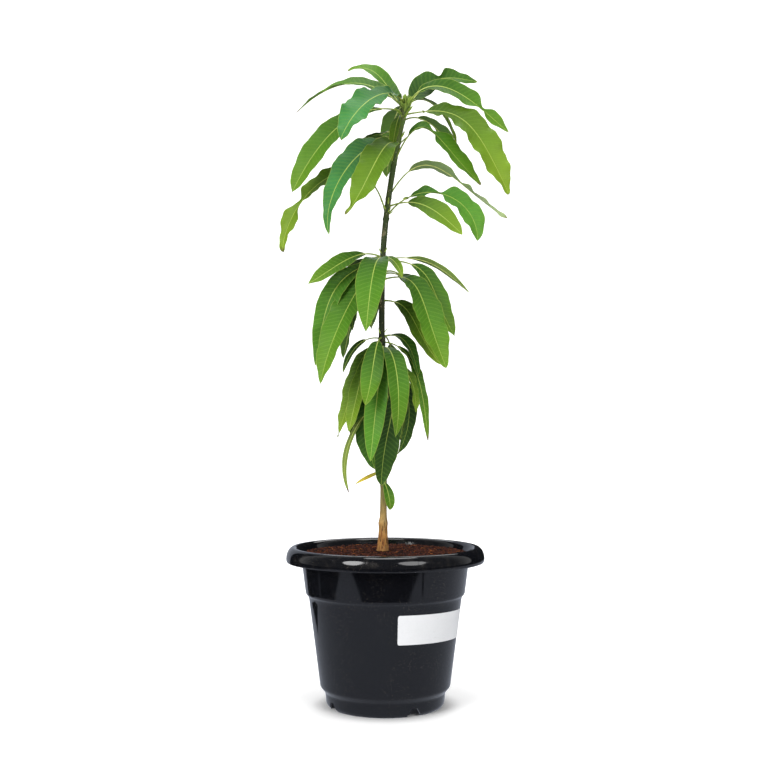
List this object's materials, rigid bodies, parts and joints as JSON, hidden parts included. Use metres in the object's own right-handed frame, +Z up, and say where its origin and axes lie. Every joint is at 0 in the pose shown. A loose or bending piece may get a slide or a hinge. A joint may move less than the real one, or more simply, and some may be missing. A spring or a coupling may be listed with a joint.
{
  "type": "potted mango tree sapling",
  "caption": "Single-stemmed mango sapling with tiers of long drooping leaves, growing in a round nursery pot with a rolled rim and filled with potting mix.",
  "frame": {"origin": "centre of the flat underside of the pot's raised floor pad, on the pot's axis, at the level it stands on", "axes": "+Z up along the pot's axis, -Y towards the plant's front, +X to the right seen from the front"},
  "size_m": [0.3583, 0.3006, 0.9943],
  "materials": {
    "pot_plastic": "glossy black moulded plastic",
    "potting_mix": "moist reddish-brown fibre and bark",
    "bark": "smooth green young bark, corky tan foot",
    "leaf": "leathery satin green"
  },
  "bodies": {
    "root": {"pot": "pot_plastic", "potting_mix": "potting_mix", "trunk": "bark", "leaves_upper_left": "leaf", "leaves_upper_right": "leaf", "leaves_top_left": "leaf", "leaves_top_right": "leaf", "leaves_middle_left": "leaf", "leaves_middle_front": "leaf", "leaves_middle_right": "leaf", "leaves_lower_left": "leaf", "leaves_lower_front": "leaf", "leaves_lower_right": "leaf", "leaves_top_back": "leaf", "leaves_middle_back": "leaf", "leaves_lower_back": "leaf", "leaves_base": "leaf"}
  },
  "joints": []
}
